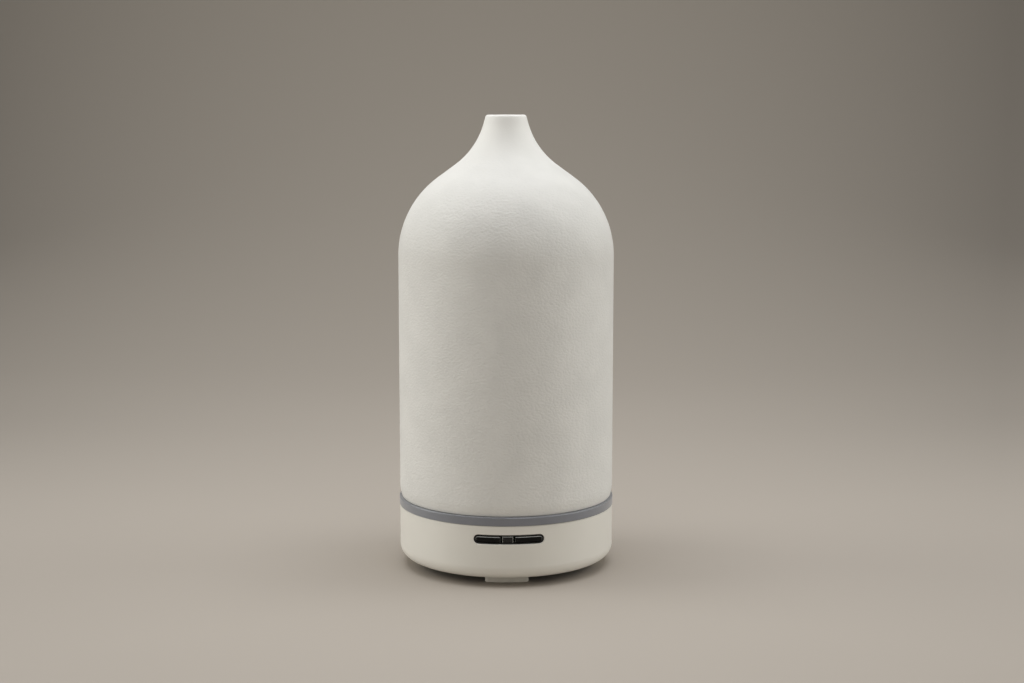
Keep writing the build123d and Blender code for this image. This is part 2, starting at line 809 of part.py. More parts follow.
with BuildPart() as board_screws:
    with Locations(Plane.XY.offset(board_top_z)):
        with Locations(board_screw_places):
            downward_screw(small_head_radius, small_head_height, small_screw_radius, board_screw_length)
    with Locations(Plane.XY.offset(board_top_z + small_head_height)):
        with Locations(board_screw_places):
            cross_recess(small_cross_size, small_cross_depth)
finish(board_screws, "board_screws")

with BuildPart() as heat_sink:
    plate_x, plate_thickness, plate_width = heat_sink_plate
    fin_x, fin_length, fin_thickness = heat_sink_fins
    with BuildSketch(Plane.XY.offset(board_top_z)):
        with Locations((plate_x, 0)):
            Rectangle(plate_thickness, plate_width)
        with Locations((fin_x, 0)):
            with GridLocations(1, heat_sink_fin_pitch, 1, heat_sink_fin_count):
                Rectangle(fin_length, fin_thickness)
    extrude(amount=heat_sink_height)
finish(heat_sink, "heat_sink")

with BuildPart() as power_transistor:
    # mounting tab against the heat sink, moulded body and three legs
    with Locations((transistor_tab_x, 0, board_top_z + transistor_lift)):
        Box(*transistor_tab_size, align=standing)
    with Locations((transistor_body_x, 0, board_top_z + transistor_lift)):
        Box(*transistor_body_size, align=standing)
    with Locations((transistor_body_x, 0, board_top_z)):
        with GridLocations(1, transistor_leg_pitch, 1, 3):
            Box(*transistor_leg_size, align=standing)
finish(power_transistor, "power_transistor")

with BuildPart() as inductor:
    # a drum core, waisted where the winding lies
    with BuildSketch(Plane.XY.offset(board_top_z)):
        with Locations(inductor_place):
            Circle(inductor_radius)
    extrude(amount=inductor_flange)
    with BuildSketch(Plane.XY.offset(board_top_z + inductor_flange)):
        with Locations(inductor_place):
            Circle(inductor_waist_radius)
    extrude(amount=inductor_height - 2 * inductor_flange)
    with BuildSketch(Plane.XY.offset(board_top_z + inductor_height)):
        with Locations(inductor_place):
            Circle(inductor_radius)
    extrude(amount=-inductor_flange)
finish(inductor, "inductor")

for size, (x, y, radius, height) in capacitors.items():
    with BuildPart() as capacitor:
        with BuildSketch(Plane.XY.offset(board_top_z)):
            with Locations((x, y)):
                Circle(radius)
        extrude(amount=height)
        fillet(capacitor.faces().sort_by(Axis.Z)[-1].edges(), capacitor_round)
        # pressure relief cross in the can's top
        with Locations((x, y, board_top_z + height)):
            cross_recess(radius * 1.2, vent_depth)
    finish(capacitor, f"capacitor_{size}")

with BuildPart() as control_chip:
    with Locations((*chip_place, board_top_z + chip_lift)):
        Box(*chip_size, align=standing)
    with Locations((*chip_place, board_top_z)):
        with GridLocations(chip_leg_pitch, 2 * chip_leg_y, chip_leg_count, 2):
            Box(*chip_leg_size, align=standing)
finish(control_chip, "control_chip")

for use, (x, y) in connector_places.items():
    with BuildPart() as connector:
        with Locations((x, y, board_top_z)):
            Box(*connector_size, align=standing)
        chamfer(connector.edges().filter_by(Axis.Z), connector_chamfer)
    finish(connector, f"connector_{use}")

# ---------------------------------------------------------------- power inlet

with BuildPart() as dc_jack:
    with Locations((0, (inlet_back_y + inlet_front_y) / 2, board_top_z)):
        inlet_length = inlet_front_y - inlet_back_y
        Box(inlet_width, inlet_length, inlet_height, align=standing)
    with BuildSketch(Plane.XZ.offset(-inlet_front_y)):
        with Locations((0, inlet_z)):
            Circle(inlet_nose_radius)
    extrude(amount=inlet_front_y - inlet_nose_y)
    with BuildSketch(Plane.XZ.offset(-inlet_nose_y)):
        with Locations((0, inlet_z)):
            Circle(inlet_bore_radius)
    extrude(amount=inlet_nose_y - inlet_bore_end_y, mode=Mode.SUBTRACT)
    # the pin's seat and the contact's slot
    with BuildSketch(Plane.XZ.offset(-inlet_bore_end_y)):
        with Locations((0, inlet_z)):
            Circle(inlet_seat_radius)
    extrude(amount=inlet_bore_end_y - inlet_back_y, mode=Mode.SUBTRACT)
    with Locations((0, contact_back_y, inlet_z - contact_drop)):
        slot_length = inlet_bore_end_y - contact_back_y
        Box(contact_width, slot_length, contact_thickness, align=contact_align, mode=Mode.SUBTRACT)
        Box(contact_width, contact_thickness, contact_tail_height, align=tail_align, mode=Mode.SUBTRACT)
finish(dc_jack, "dc_jack")

with BuildPart() as jack_contact:
    with Locations((0, contact_back_y, inlet_z - contact_drop)):
        Box(contact_width, contact_length, contact_thickness, align=contact_align)
        Box(contact_width, contact_thickness, contact_tail_height, align=tail_align)
finish(jack_contact, "jack_contact")

with BuildPart() as jack_pin:
    with BuildSketch(Plane.XZ.offset(-inlet_back_y)):
        with Locations((0, inlet_z)):
            Circle(inlet_seat_radius)
    extrude(amount=inlet_back_y - inlet_bore_end_y)
    with BuildSketch(Plane.XZ.offset(-inlet_bore_end_y)):
        with Locations((0, inlet_z)):
            Circle(inlet_pin_radius)
    extrude(amount=inlet_bore_end_y - inlet_pin_tip_y)
    fillet(jack_pin.faces().sort_by(Axis.Y)[-1].edges(), inlet_pin_round)
finish(jack_pin, "jack_pin")

# ---------------------------------------------------------------- control window

with BuildPart() as key_frame:
    # a curved plate behind the shell's wall, and a rim that lines the window
    with BuildSketch(Plane.XZ.offset(-key_board_y)):
        with Locations((0, window_z)):
            RectangleRounded(frame_width, frame_height, frame_corner_round)
    extrude(amount=through_cut)
    Cylinder(frame_outer_radius, 2 * total_height, mode=Mode.INTERSECT)
    with BuildSketch(Plane.XZ.offset(frame_inner_radius)):
        with Locations((window_middle_x, window_z)):
            SlotOverall(window_width - 2 * frame_clearance, window_height - 2 * frame_clearance)
    extrude(amount=through_cut)
    Cylinder(base_radius - bezel_set_back, 2 * total_height, mode=Mode.INTERSECT)
    Cylinder(frame_inner_radius, 2 * total_height, mode=Mode.SUBTRACT)
    with BuildSketch(Plane.XZ.offset(-key_board_y)):
        with Locations((window_middle_x, window_z)):
            SlotOverall(key_row_width + 2 * key_clearance, key_height + 2 * key_clearance)
    extrude(amount=through_cut, mode=Mode.SUBTRACT)
    # posts that carry the key board
    with BuildSketch(Plane.XZ.offset(-key_board_y)):
        with Locations((0, window_z)):
            with GridLocations(key_post_spacing, 1, 2, 1):
                Circle(key_post_radius)
    extrude(amount=key_post_length)
    with BuildSketch(Plane.XZ.offset(-key_board_y)):
        with Locations((0, window_z)):
            with GridLocations(key_post_spacing, 1, 2, 1):
                Circle(small_pilot_radius)
    extrude(amount=key_post_hole_depth, mode=Mode.SUBTRACT)
finish(key_frame, "key_frame")

key_spans = {
    "light": (window_middle_x - key_row_width / 2, lens_left_x - seam),
    "mist": (lens_right_x + seam, window_middle_x + key_row_width / 2),
}
for use, (left_x, right_x) in key_spans.items():
    middle_x = (left_x + right_x) / 2
    with BuildPart() as key:
        # the window's outline, cut to this key's stretch of it, between two cylinders
        with BuildSketch(Plane.XZ.offset(-key_board_y)):
            with Locations((window_middle_x, window_z)):
                SlotOverall(key_row_width, key_height)
            with Locations((middle_x, window_z)):
                Rectangle(right_x - left_x, key_height, mode=Mode.INTERSECT)
        extrude(amount=through_cut)
        Cylinder(key_front_radius, 2 * total_height, mode=Mode.INTERSECT)
        fillet(key.edges().filter_by(lambda edge: on_cylinder(edge, key_front_radius)), key_round)
        Cylinder(key_back_radius, 2 * total_height, mode=Mode.SUBTRACT)
        # a taller rib behind the frame keeps the key in
        with BuildSketch(Plane.XY.offset(window_z - key_rib_height / 2)):
            Circle(frame_inner_radius - key_rib_clearance)
            Circle(key_back_radius, mode=Mode.SUBTRACT)
            with Locations((middle_x, -key_back_radius)):
                Rectangle(right_x - left_x - 2 * key_rib_inset, through_cut, mode=Mode.INTERSECT)
        extrude(amount=key_rib_height)
        # plunger towards the switch
        with BuildSketch(Plane.XZ.offset(-plunger_end_y)):
            with Locations((middle_x, window_z)):
                Circle(plunger_radius)
        extrude(amount=plunger_length)
    finish(key, f"{use}_key")

    with BuildPart() as switch:
        with BuildSketch(Plane.XZ.offset(-key_board_y)):
            with Locations((middle_x, window_z)):
                Rectangle(*switch_size)
        extrude(amount=switch_height)
        chamfer(switch.edges().filter_by(Axis.Y), switch_chamfer)
        with BuildSketch(Plane.XZ.offset(switch_height - key_board_y)):
            with Locations((middle_x, window_z)):
                Circle(switch_button_radius)
        extrude(amount=switch_button_height)
    finish(switch, f"{use}_switch")

with BuildPart() as indicator_window:
    lens_front_radius = key_front_radius - lens_set_back
    with BuildSketch(Plane.XZ.offset(-key_board_y)):
        with Locations((lens_middle_x, window_z)):
            Rectangle(lens_right_x - lens_left_x, key_height + 2 * key_clearance)
    extrude(amount=through_cut)
    Cylinder(lens_front_radius, 2 * total_height, mode=Mode.INTERSECT)
    fillet(indicator_window.edges().filter_by(lambda edge: on_cylinder(edge, lens_front_radius)), key_round)
    Cylinder(frame_inner_radius - lens_flange, 2 * total_height, mode=Mode.SUBTRACT)
    # flange behind the frame
    with BuildSketch(Plane.XY.offset(window_z - key_rib_height / 2)):
        Circle(frame_inner_radius - lens_clearance)
        Circle(frame_inner_radius - lens_flange, mode=Mode.SUBTRACT)
        with Locations((lens_middle_x, -key_back_radius)):
            Rectangle(lens_right_x - lens_left_x, through_cut, mode=Mode.INTERSECT)
    extrude(amount=key_rib_height)
finish(indicator_window, "indicator_window")

with BuildPart() as key_board:
    with BuildSketch(Plane.XZ.offset(-key_board_y)):
        with Locations((0, window_z)):
            RectangleRounded(key_post_spacing + key_board_margin, frame_height - key_board_inset, 1)
            with GridLocations(key_post_spacing, 1, 2, 1):
                Circle(small_hole_radius, mode=Mode.SUBTRACT)
    extrude(amount=-key_board_thickness)
finish(key_board, "key_board")

with BuildPart() as status_led:
    with BuildSketch(Plane.XZ.offset(-key_board_y)):
        with Locations((lens_middle_x, window_z)):
            Rectangle(*status_led_size)
    extrude(amount=status_led_height)
finish(status_led, "status_led")

key_board_back_y = key_board_y + key_board_thickness
key_board_back = Plane(origin=(0, key_board_back_y, window_z), x_dir=(1, 0, 0), z_dir=(0, 1, 0))
with BuildPart() as key_board_screws:
    with Locations(key_board_back):
        with GridLocations(key_post_spacing, 1, 2, 1):
            downward_screw(small_head_radius, small_head_height, small_screw_radius, key_board_screw_length)
    with Locations(key_board_back.offset(small_head_height)):
        with GridLocations(key_post_spacing, 1, 2, 1):
            cross_recess(small_cross_size, small_cross_depth)
finish(key_board_screws, "key_board_screws")

# ---------------------------------------------------------------- leads between the boards

connector_top_z = board_top_z + connector_size[2]
fan_lead_z = board_top_z + connector_size[2] / 2
disc_underside_z = disc_bottom_z - disc_proud
fan_connector_x = connector_places["fan"][0]
jog_x, start_y, first_y, second_y, end_y = fan_lead_bends
disc_connector = connector_places["transducer"]
led_connector = connector_places["led"]
key_connector = connector_places["keys"]
fan_route = [
    (fan_connector_x, start_y, fan_lead_z),
    (fan_connector_x, first_y, fan_lead_z),
    (jog_x, second_y, fan_lead_z),
    (jog_x, end_y, fan_lead_z),
]
disc_route = [
    (*disc_connector, connector_top_z),
    (*disc_connector, crossing_z),
    (*disc_lead_end, crossing_z),
    (*disc_lead_end, disc_underside_z),
]
led_route = [
    (*led_connector, connector_top_z),
    (*led_connector, led_crossing_z),
    (*led_lead_top, led_crossing_z),
    (*led_lead_top, base_top_z),
]
key_route = [
    (*key_connector, connector_top_z),
    (*key_connector, crossing_z),
    (key_connector[0], key_board_back_y, crossing_z),
]
lead_routes = {
    "fan": (fan_route, fan_lead_bend_radius),
    "transducer": (disc_route, lead_bend_radius),
    "led": (led_route, led_lead_bend_radius),
    "key": (key_route, lead_bend_radius),
}
for use, (route, bend_radius) in lead_routes.items():
    with BuildPart() as lead:
        with BuildLine() as path:
            FilletPolyline(*route, radius=bend_radius)
        with BuildSketch(Plane(origin=path.line @ 0, z_dir=path.line % 0)):
            Circle(lead_radius)
        sweep()
    finish(lead, f"{use}_lead")

# ---------------------------------------------------------------- inner cover and ceramic cover

with BuildPart() as inner_cover:
    inner_cover_bore = inner_cover_radius - inner_cover_wall
    seat_z = tank_rim_z + cover_gap
    bead_z = inner_cover_top_z - chimney_bead_height
    bead_radius = inner_chimney_radius + chimney_bead
    with BuildSketch(Plane.XZ):
        with BuildLine():
            FilletPolyline(
                (inner_cover_radius, inner_cover_bottom_z),
                (inner_cover_radius, inner_cover_wall_top_z),
                (inner_chimney_radius, inner_cover_roof_z),
                (inner_chimney_radius, bead_z),
                (bead_radius, bead_z + chimney_bead_slope),
                (bead_radius, inner_cover_top_z),
                (inner_chimney_bore, inner_cover_top_z),
                (inner_chimney_bore, inner_cover_roof_z - inner_cover_wall),
                (inner_seat_radius, tank_rim_z + inner_cover_seat),
                (inner_seat_radius, seat_z),
                (inner_cover_bore, seat_z),
                (inner_cover_bore, inner_cover_bottom_z),
                radius=[0.3, 4, 6, 0, 0.3, 0.5, 0.4, 5, 0, 0, 0, 0.3],
                close=True,
            )
        make_face()
    revolve(axis=Axis.Z)
finish(inner_cover, "inner_cover")

with BuildPart() as ceramic_cover:
    inner_radius = cover_radius - ceramic_wall
    inner_foot_z = cover_bottom_z + foot_inset
    edge_drop = cover_edge_round * (1 - sin(radians(curl_turn)))
    curl_start_z = cover_bottom_z + edge_drop + curl_radius * sin(radians(curl_turn))
    rim_lean = shoulder_turn - neck_turn
    rim_rise = rim_round * (1 - sin(radians(rim_lean)))
    inner_neck_radius = neck_radius + ceramic_wall
    inner_neck_turn = bore_neck_turn - neck_turn
    with BuildSketch(Plane.XZ):
        with BuildLine():
            # outside: curled foot, upright wall, convex shoulder, slope, concave neck and rounded rim
            wall = Line((cover_radius, curl_start_z), (cover_radius, shoulder_start_z))
            curl = JernArc(wall @ 0, (0, -1), curl_radius, -curl_turn)
            foot = JernArc(curl @ 1, curl % 1, cover_edge_round, curl_turn - 90)
            shoulder = JernArc(wall @ 1, wall % 1, shoulder_radius, shoulder_turn)
            slope = PolarLine(shoulder @ 1, slope_length, direction=shoulder % 1)
            neck = JernArc(slope @ 1, slope % 1, neck_radius, -neck_turn)
            nozzle_length = (total_height - rim_rise - (neck @ 1).Y) / (neck % 1).Y
            nozzle = PolarLine(neck @ 1, nozzle_length, direction=neck % 1)
            rim = JernArc(nozzle @ 1, nozzle % 1, rim_round, 90 - rim_lean)
            # inside: the outline a wall's thickness in, narrowing to the nozzle's bore
            inside = Line((inner_radius, inner_foot_z), (inner_radius, shoulder_start_z))
            inner_shoulder = JernArc(inside @ 1, inside % 1, shoulder_radius - ceramic_wall, shoulder_turn)
            inner_slope = PolarLine(inner_shoulder @ 1, slope_length, direction=inner_shoulder % 1)
            inner_neck = JernArc(inner_slope @ 1, inner_slope % 1, inner_neck_radius, inner_neck_turn)
            bore_foot = Line(inner_neck @ 1, (nozzle_bore, (inner_neck @ 1).Y + bore_neck_rise))
            bore = Line(bore_foot @ 1, (nozzle_bore, total_height - bore_round))
            bore_rim = JernArc(bore @ 1, (0, 1), bore_round, -90)
            Line(bore_rim @ 1, rim @ 1)
            Polyline(foot @ 1, (inner_radius + foot_inset, cover_bottom_z), inside @ 0)
        make_face()
    revolve(axis=Axis.Z)
finish(ceramic_cover, "ceramic_cover")
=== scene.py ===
"""Looks of the essential oil diffuser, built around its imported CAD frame. Metres, the CAD's own frame."""

import json
from math import ceil, cos, pi, radians, sin

import bpy
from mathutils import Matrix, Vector, noise


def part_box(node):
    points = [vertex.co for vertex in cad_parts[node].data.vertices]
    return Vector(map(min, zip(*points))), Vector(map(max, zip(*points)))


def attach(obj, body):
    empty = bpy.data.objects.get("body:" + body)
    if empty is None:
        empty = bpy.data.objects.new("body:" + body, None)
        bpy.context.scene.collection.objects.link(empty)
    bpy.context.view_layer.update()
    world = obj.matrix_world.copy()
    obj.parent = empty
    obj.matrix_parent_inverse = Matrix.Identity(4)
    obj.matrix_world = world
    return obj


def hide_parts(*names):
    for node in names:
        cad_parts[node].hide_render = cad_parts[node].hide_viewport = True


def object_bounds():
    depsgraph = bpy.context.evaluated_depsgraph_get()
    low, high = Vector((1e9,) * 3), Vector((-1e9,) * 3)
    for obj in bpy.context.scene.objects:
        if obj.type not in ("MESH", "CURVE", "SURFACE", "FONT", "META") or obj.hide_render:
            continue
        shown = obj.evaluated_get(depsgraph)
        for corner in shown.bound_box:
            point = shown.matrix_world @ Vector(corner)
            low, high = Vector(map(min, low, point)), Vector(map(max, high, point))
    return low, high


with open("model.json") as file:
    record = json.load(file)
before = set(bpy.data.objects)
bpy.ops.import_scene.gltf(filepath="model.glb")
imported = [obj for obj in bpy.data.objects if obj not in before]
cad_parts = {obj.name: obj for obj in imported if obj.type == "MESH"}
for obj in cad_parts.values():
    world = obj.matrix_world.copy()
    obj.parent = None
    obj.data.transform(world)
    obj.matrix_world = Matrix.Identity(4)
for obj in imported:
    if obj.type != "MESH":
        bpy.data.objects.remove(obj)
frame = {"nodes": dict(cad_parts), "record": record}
cad_low, cad_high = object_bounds()

MM = 0.001
FLOOR_Z = cad_low.z

# ---------------------------------------------------------------- camera

LENS_MM = 60.93
CAMERA_BACK = 0.7267  # from the object's axis
CAMERA_HEIGHT = 0.195
CAMERA_ASIDE = 0.0025
CAMERA_PITCH = radians(7.85)
CAMERA_TURN = radians(0.6)  # round the object's axis, towards its left

camera_data = bpy.data.cameras.new("camera")
camera_data.lens = LENS_MM
camera_data.clip_start = 0.01
camera_data.clip_end = 20
camera = bpy.data.objects.new("camera", camera_data)
camera.location = (
    CAMERA_ASIDE * cos(CAMERA_TURN) - CAMERA_BACK * sin(CAMERA_TURN),
    -CAMERA_ASIDE * sin(CAMERA_TURN) - CAMERA_BACK * cos(CAMERA_TURN),
    CAMERA_HEIGHT,
)
camera.rotation_euler = (pi / 2 - CAMERA_PITCH, 0, -CAMERA_TURN)
bpy.context.scene.collection.objects.link(camera)
bpy.context.scene.camera = camera
bpy.context.scene.view_settings.view_transform = "Standard"


# ---------------------------------------------------------------- lights


def softbox(name, place, aim, width, height, power, colour=(1, 1, 1)):
    """A rectangular area light at place, turned towards aim."""
    data = bpy.data.lights.new(name, "AREA")
    data.shape = "RECTANGLE"
    data.size = width
    data.size_y = height
    data.energy = power
    data.color = colour
    light = bpy.data.objects.new(name, data)
    light.location = place
    light.rotation_euler = (Vector(aim) - Vector(place)).to_track_quat("-Z", "Y").to_euler()
    bpy.context.scene.collection.objects.link(light)
    return light


MIDDLE = (0, 0, 0.1)
softbox("overhead", (0, 0.05, 0.95), MIDDLE, 0.9, 0.7, 4.4, (0.93, 0.947, 0.985))
softbox("overhead_near", (0, -0.1, 0.6), MIDDLE, 0.6, 0.5, 0.65)
softbox("left_side", (-1.5, 0.1, 0.66), MIDDLE, 1, 1.28, 9.5, (0.99, 1, 0.965))
softbox("right_side", (1.5, 0.1, 0.66), MIDDLE, 1, 1.28, 7.9, (0.98, 1, 0.99))
softbox("left_back", (-0.55, 0.55, 0.4), MIDDLE, 0.4, 0.6, 0.25)
softbox("right_back", (0.55, 0.55, 0.4), MIDDLE, 0.4, 0.6, 0.25)
# strips that light only the object, so that its lower edge isn't lost in the shade
lit_by_strips = bpy.data.collections.new("lit_by_strips")
STRIP_LENGTH, STRIP_WIDTH, STRIP_Z = 0.5, 0.03, 0.025
LOW_STRIPS = (
    ("low_front", 0, -0.4, 0.07),
    ("low_left", -0.45, 0, 0.2),
    ("low_right", 0.45, 0, 0.13),
)
for strip_name, x, y, power in LOW_STRIPS:
    strip = softbox(strip_name, (x, y, STRIP_Z), (0, 0, STRIP_Z), STRIP_LENGTH, STRIP_WIDTH, power)
    strip.visible_glossy = False
    strip.visible_camera = False
    strip.light_linking.receiver_collection = lit_by_strips

world = bpy.data.worlds.new("studio")
world.use_nodes = True
ambient = world.node_tree.nodes["Background"]
ambient.inputs["Color"].default_value = (1, 0.97, 0.9, 1)
ambient.inputs["Strength"].default_value = 0.275
bpy.context.scene.world = world


# ---------------------------------------------------------------- shader helpers


SOCKETS = {
    "metallic": "Metallic",
    "ior": "IOR",
    "coat_weight": "Coat Weight",
    "coat_roughness": "Coat Roughness",
    "specular": "Specular IOR Level",
    "sheen_weight": "Sheen Weight",
    "subsurface": "Subsurface Weight",
    "subsurface_scale": "Subsurface Scale",
    "anisotropic": "Anisotropic",
}


def material(name, colour, roughness, **values):
    """A Principled material; values are named sockets, as in coat_weight=0.2."""
    made = bpy.data.materials.new(name)
    made.use_nodes = True
    shader = made.node_tree.nodes["Principled BSDF"]
    shader.inputs["Base Color"].default_value = (*colour, 1)
    shader.inputs["Roughness"].default_value = roughness
    for key, value in values.items():
        shader.inputs[SOCKETS[key]].default_value = value
    return made


def shader_of(made):
    """The material's Principled shader."""
    return made.node_tree.nodes["Principled BSDF"]


def add(made, kind, **values):
    """A node of this kind, with its properties or inputs set by name."""
    node = made.node_tree.nodes.new(kind)
    for key, value in values.items():
        socket = node.inputs.get(key.replace("_", " ").title())
        if socket is None:
            setattr(node, key, value)
        else:
            socket.default_value = value
    return node


def link(made, source, target):
    made.node_tree.links.new(source, target)


def place(made, stretch=(1, 1, 1)):
    """Object coordinates, stretched along X, Y and Z."""
    where = add(made, "ShaderNodeTexCoord").outputs["Object"]
    if stretch == (1, 1, 1):
        return where
    mapping = add(made, "ShaderNodeMapping", scale=stretch)
    link(made, where, mapping.inputs["Vector"])
    return mapping.outputs["Vector"]


def spread(made, value, low, high, at_low=0.0, at_high=1.0):
    """Value taken from low..high to at_low..at_high, and held there beyond."""
    node = add(made, "ShaderNodeMapRange", from_min=low, from_max=high, to_min=at_low, to_max=at_high)
    link(made, value, node.inputs["Value"])
    return node.outputs["Result"]


def combine(made, operation, *values):
    """Arithmetic on values, each of them a node's output or a number."""
    node = add(made, "ShaderNodeMath", operation=operation)
    for value, socket in zip(values, node.inputs):
        if isinstance(value, float):
            socket.default_value = value
        else:
            link(made, value, socket)
    return node.outputs["Value"]


def axes(made, vector):
    """The X, Y and Z outputs of a vector."""
    parts = add(made, "ShaderNodeSeparateXYZ")
    link(made, vector, parts.inputs["Vector"])
    return parts.outputs


def grain(made, size, detail=2, stretch=(1, 1, 1)):
    """Noise whose blobs are about size across, as a 0 to 1 value."""
    texture = add(made, "ShaderNodeTexNoise", scale=1 / size, detail=detail)
    link(made, place(made, stretch), texture.inputs["Vector"])
    return texture.outputs["Fac"]


def mottle(made, value, dark, light, low=0.35, high=0.65):
    """Base colour that runs from dark to light as value does."""
    ramp = add(made, "ShaderNodeValToRGB")
    for stop, place_on, colour in zip(ramp.color_ramp.elements, (low, high), (dark, light)):
        stop.position = place_on
        stop.color = (*colour, 1)
    link(made, value, ramp.inputs["Fac"])
    link(made, ramp.outputs["Color"], shader_of(made).inputs["Base Color"])


def blend(made, value, colour):
    """Takes the base colour over to another one where value is 1."""
    base = shader_of(made).inputs["Base Color"]
    mix = add(made, "ShaderNodeMixRGB")
    link(made, value, mix.inputs["Fac"])
    link(made, base.links[0].from_socket, mix.inputs["Color1"])
    mix.inputs["Color2"].default_value = (*colour, 1)
    link(made, mix.outputs["Color"], base)


def uneven_gloss(made, value, low, high):
    """Roughness that runs from low to high as value does."""
    link(made, spread(made, value, 0.3, 0.7, low, high), shader_of(made).inputs["Roughness"])


def relief(made, value, depth, strength=1.0):
    """Bump of this depth on top of what bump there is."""
    bump = add(made, "ShaderNodeBump", distance=depth, strength=strength)
    normal = shader_of(made).inputs["Normal"]
    if normal.is_linked:
        link(made, normal.links[0].from_socket, bump.inputs["Normal"])
    link(made, value, bump.inputs["Height"])
    link(made, bump.outputs["Normal"], normal)


def shade(colour, factor):
    """The colour times factor, with no part of it over 1."""
    return tuple(min(1.0, c * factor) for c in colour)


# ---------------------------------------------------------------- materials, by the record's slots


def bisque_ceramic():
    """Matt white stoneware slip: leathery dimples and faint clouds, whiter and smoother up the neck."""
    white = (0.8, 0.79, 0.755)
    whitest = shade(white, 1.13)
    whiter_from, whitest_from = 168 * MM, 184 * MM
    smoother_from, smoothest_from = 158 * MM, 174 * MM
    made = material("bisque_ceramic", white, 0.6, specular=0.3)
    mottle(made, grain(made, 14 * MM, 3), shade(white, 0.97), shade(white, 1.02))
    height = axes(made, place(made))["Z"]
    blend(made, spread(made, height, whiter_from, whitest_from), whitest)
    uneven_gloss(made, grain(made, 3 * MM, 2), 0.52, 0.68)
    smoother = spread(made, height, smoother_from, smoothest_from, 1, 0.15)
    dimples = combine(made, "MULTIPLY", grain(made, 1.1 * MM, 1, (1, 1, 1.35)), smoother)
    relief(made, dimples, 0.22 * MM, 0.85)
    relief(made, grain(made, 0.35 * MM, 2), 0.015 * MM, 0.5)
    return made


def cream_plastic():
    """Satin moulded plastic with a spark-eroded grain."""
    cream = (0.82, 0.795, 0.73)
    made = material("cream_plastic", cream, 0.38, specular=0.6)
    mottle(made, grain(made, 20 * MM, 2), shade(cream, 0.985), shade(cream, 1.01))
    uneven_gloss(made, grain(made, 2 * MM, 2), 0.34, 0.42)
    relief(made, grain(made, 0.25 * MM, 2), 0.008 * MM, 0.5)
    return made


def frosted_acrylic():
    """Light guide, grey while its lamps are off, with a blasted surface."""
    grey = (0.17, 0.178, 0.206)
    gloss = {"ior": 1.52, "specular": 0.9, "coat_weight": 0.6, "coat_roughness": 0.3, "sheen_weight": 0.35}
    made = material("frosted_acrylic", grey, 0.4, **gloss)
    mottle(made, grain(made, 9 * MM, 2), shade(grey, 0.97), shade(grey, 1.03))
    uneven_gloss(made, grain(made, 3 * MM, 2), 0.38, 0.46)
    relief(made, grain(made, 0.8 * MM, 1), 0.004 * MM, 0.3)
    return made


def soft_plastic(name, colour):
    """Thin polypropylene that lets some light into its wall."""
    made = material(name, colour, 0.4, subsurface=0.25, subsurface_scale=2 * MM)
    mottle(made, grain(made, 16 * MM, 2), shade(colour, 0.97), shade(colour, 1.02))
    uneven_gloss(made, grain(made, 5 * MM, 3), 0.34, 0.48)
    relief(made, grain(made, 0.4 * MM, 2), 0.008 * MM, 0.4)
    return made


def foot_rubber():
    """Soft cream elastomer, matt, with a little dust."""
    cream = (0.78, 0.74, 0.65)
    made = material("foot_rubber", cream, 0.6, specular=0.4)
    mottle(made, grain(made, 3 * MM, 4), shade(cream, 0.93), shade(cream, 1.02))
    uneven_gloss(made, grain(made, 1 * MM, 2), 0.62, 0.8)
    relief(made, grain(made, 0.3 * MM, 2), 0.02 * MM, 0.5)
    return made


RIM_BLEND = 0.12  # how much further a normal leans before a rim is wholly bright


def bright_rims(made, upward, sideways, rim_colour):
    """Polished metal on faces whose normal leans up or sideways by more than these limits."""
    lean = axes(made, add(made, "ShaderNodeTexCoord").outputs["Normal"])
    up = spread(made, lean["Z"], upward, upward + RIM_BLEND)
    aside = spread(made, combine(made, "ABSOLUTE", lean["X"]), sideways, sideways + RIM_BLEND)
    rim = combine(made, "MAXIMUM", up, aside)
    blend(made, rim, rim_colour)
    link(made, rim, shader_of(made).inputs["Metallic"])


def gloss_black():
    """Polished black with the faint unevenness of a moulded face, and a bright polished rim."""
    black = (0.0052, 0.0052, 0.0048)
    made = material("gloss_black", black, 0.2, specular=0.12)
    mottle(made, grain(made, 2 * MM, 2), shade(black, 0.8), shade(black, 1.3))
    uneven_gloss(made, grain(made, 1.5 * MM, 3), 0.16, 0.26)
    relief(made, grain(made, 1.2 * MM, 1), 0.01 * MM, 0.3)
    bright_rims(made, 0.4, 0.66, (0.4, 0.41, 0.4))
    return made


def smoked_lens():
    """Smoked clear plastic over a dark hollow, its rim polished bright."""
    smoke = (0.0091, 0.0091, 0.0086)
    made = material("smoked_lens", smoke, 0.12, specular=0.3)
    mottle(made, grain(made, 1.5 * MM, 2), shade(smoke, 0.7), shade(smoke, 1.4))
    uneven_gloss(made, grain(made, 1 * MM, 2), 0.09, 0.16)
    bright_rims(made, 0.4, 0.5, (0.45, 0.46, 0.45))
    return made


def black_plastic():
    """Satin black, glass-filled, with a fine eroded grain."""
    black = (0.0103, 0.0103, 0.011)
    made = material("black_plastic", black, 0.5)
    mottle(made, grain(made, 1 * MM, 4), shade(black, 0.8), shade(black, 1.5))
    uneven_gloss(made, grain(made, 0.8 * MM, 2), 0.42, 0.6)
    relief(made, grain(made, 0.2 * MM, 2), 0.015 * MM, 0.6)
    return made


